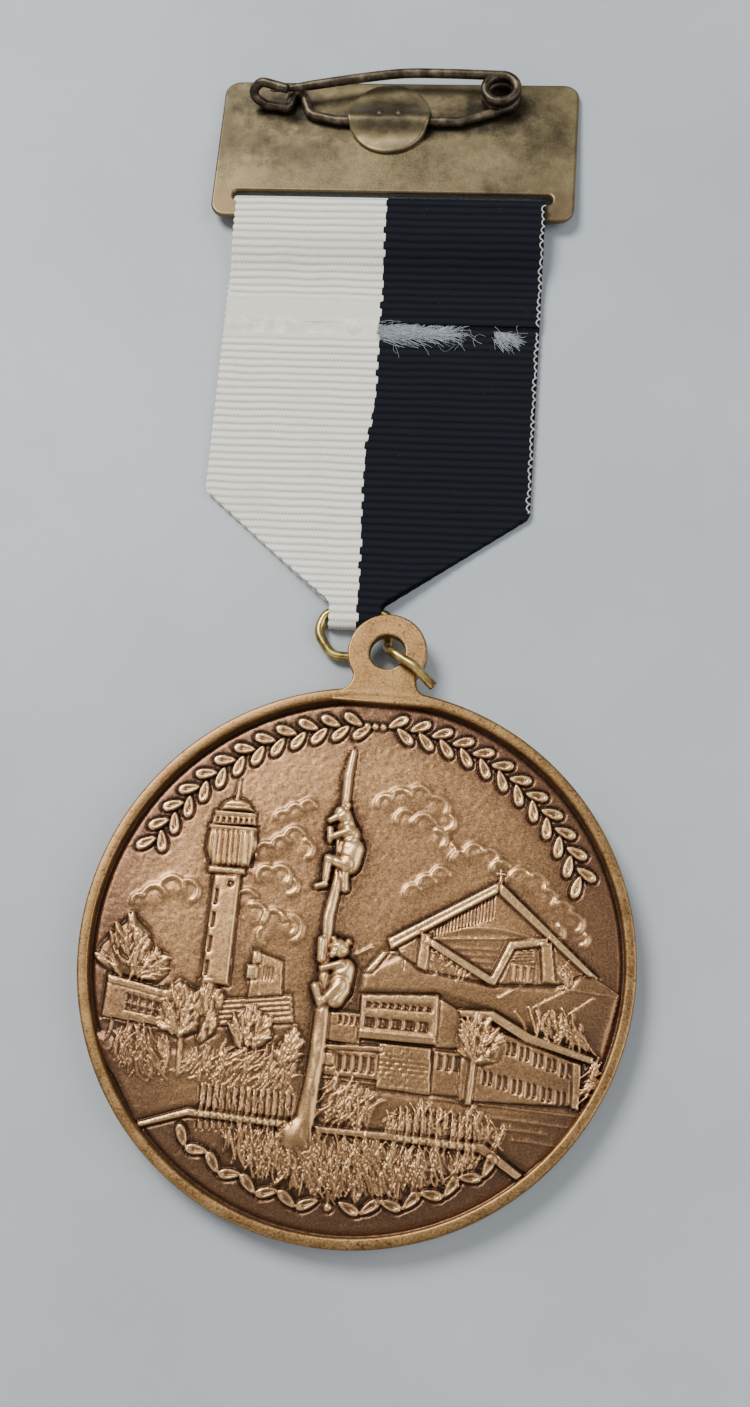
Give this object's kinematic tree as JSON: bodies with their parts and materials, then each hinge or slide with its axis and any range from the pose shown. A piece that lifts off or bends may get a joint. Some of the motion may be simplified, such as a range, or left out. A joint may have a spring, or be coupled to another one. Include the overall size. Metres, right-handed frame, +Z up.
{
  "type": "pinned ribbon medal",
  "caption": "Round struck medal with an eyelet, hung by an open jump ring from a folded two-tone ribbon looped through a slotted brooch plate with a safety pin.",
  "frame": {"origin": "centre of the bounding box in plan, on the table it lies on", "axes": "+Z up out of the struck face, +Y from the medal to the brooch plate, +X to the right seen from above"},
  "size_m": [0.06, 0.1416, 0.0051],
  "materials": {
    "medal": "struck bronze, dark in the recesses, bright on the rim",
    "jump_ring": "bright drawn brass wire",
    "ribbon_light": "ribbed white ribbon",
    "ribbon_dark": "ribbed black ribbon",
    "ribbon_bond": "dried fabric glue",
    "brooch_plate": "antique brass sheet, mottled",
    "pin_disc": "antique brass sheet, heat-stained",
    "pin_frame": "dark bronzed spring wire",
    "pin_needle": "dark bronzed spring wire"
  },
  "bodies": {
    "bar": {"brooch_plate": "brooch_plate", "pin_disc": "pin_disc", "pin_frame": "pin_frame"},
    "needle": {"pin_needle": "pin_needle"},
    "ribbon": {"ribbon_light": "ribbon_light", "ribbon_dark": "ribbon_dark", "ribbon_bond": "ribbon_bond"},
    "ring": {"jump_ring": "jump_ring"},
    "medal": {"medal": "medal"}
  },
  "joints": [
    {"name": "needle_open", "type": "hinge", "parent": "bar", "child": "needle", "pos_m": [0.01006, 0.06822, 0.00308], "axis": [0, -0.0622, -0.9981], "range_deg": [0, 60]},
    {"name": "ribbon_flap", "type": "hinge", "parent": "bar", "child": "ribbon", "pos_m": [0, 0.0513, 0.0016], "axis": [-1, 0, 0], "range_deg": [0, 55]},
    {"name": "ring_swing", "type": "hinge", "parent": "ribbon", "child": "ring", "pos_m": [0, -0.00125, 0.00095], "axis": [-1, 0, 0], "range_deg": [0, 40]},
    {"name": "medal_swing", "type": "hinge", "parent": "ring", "child": "medal", "pos_m": [0.0012, -0.00657, 0.003], "axis": [0, 0, 1], "range_deg": [-20, 20]}
  ]
}
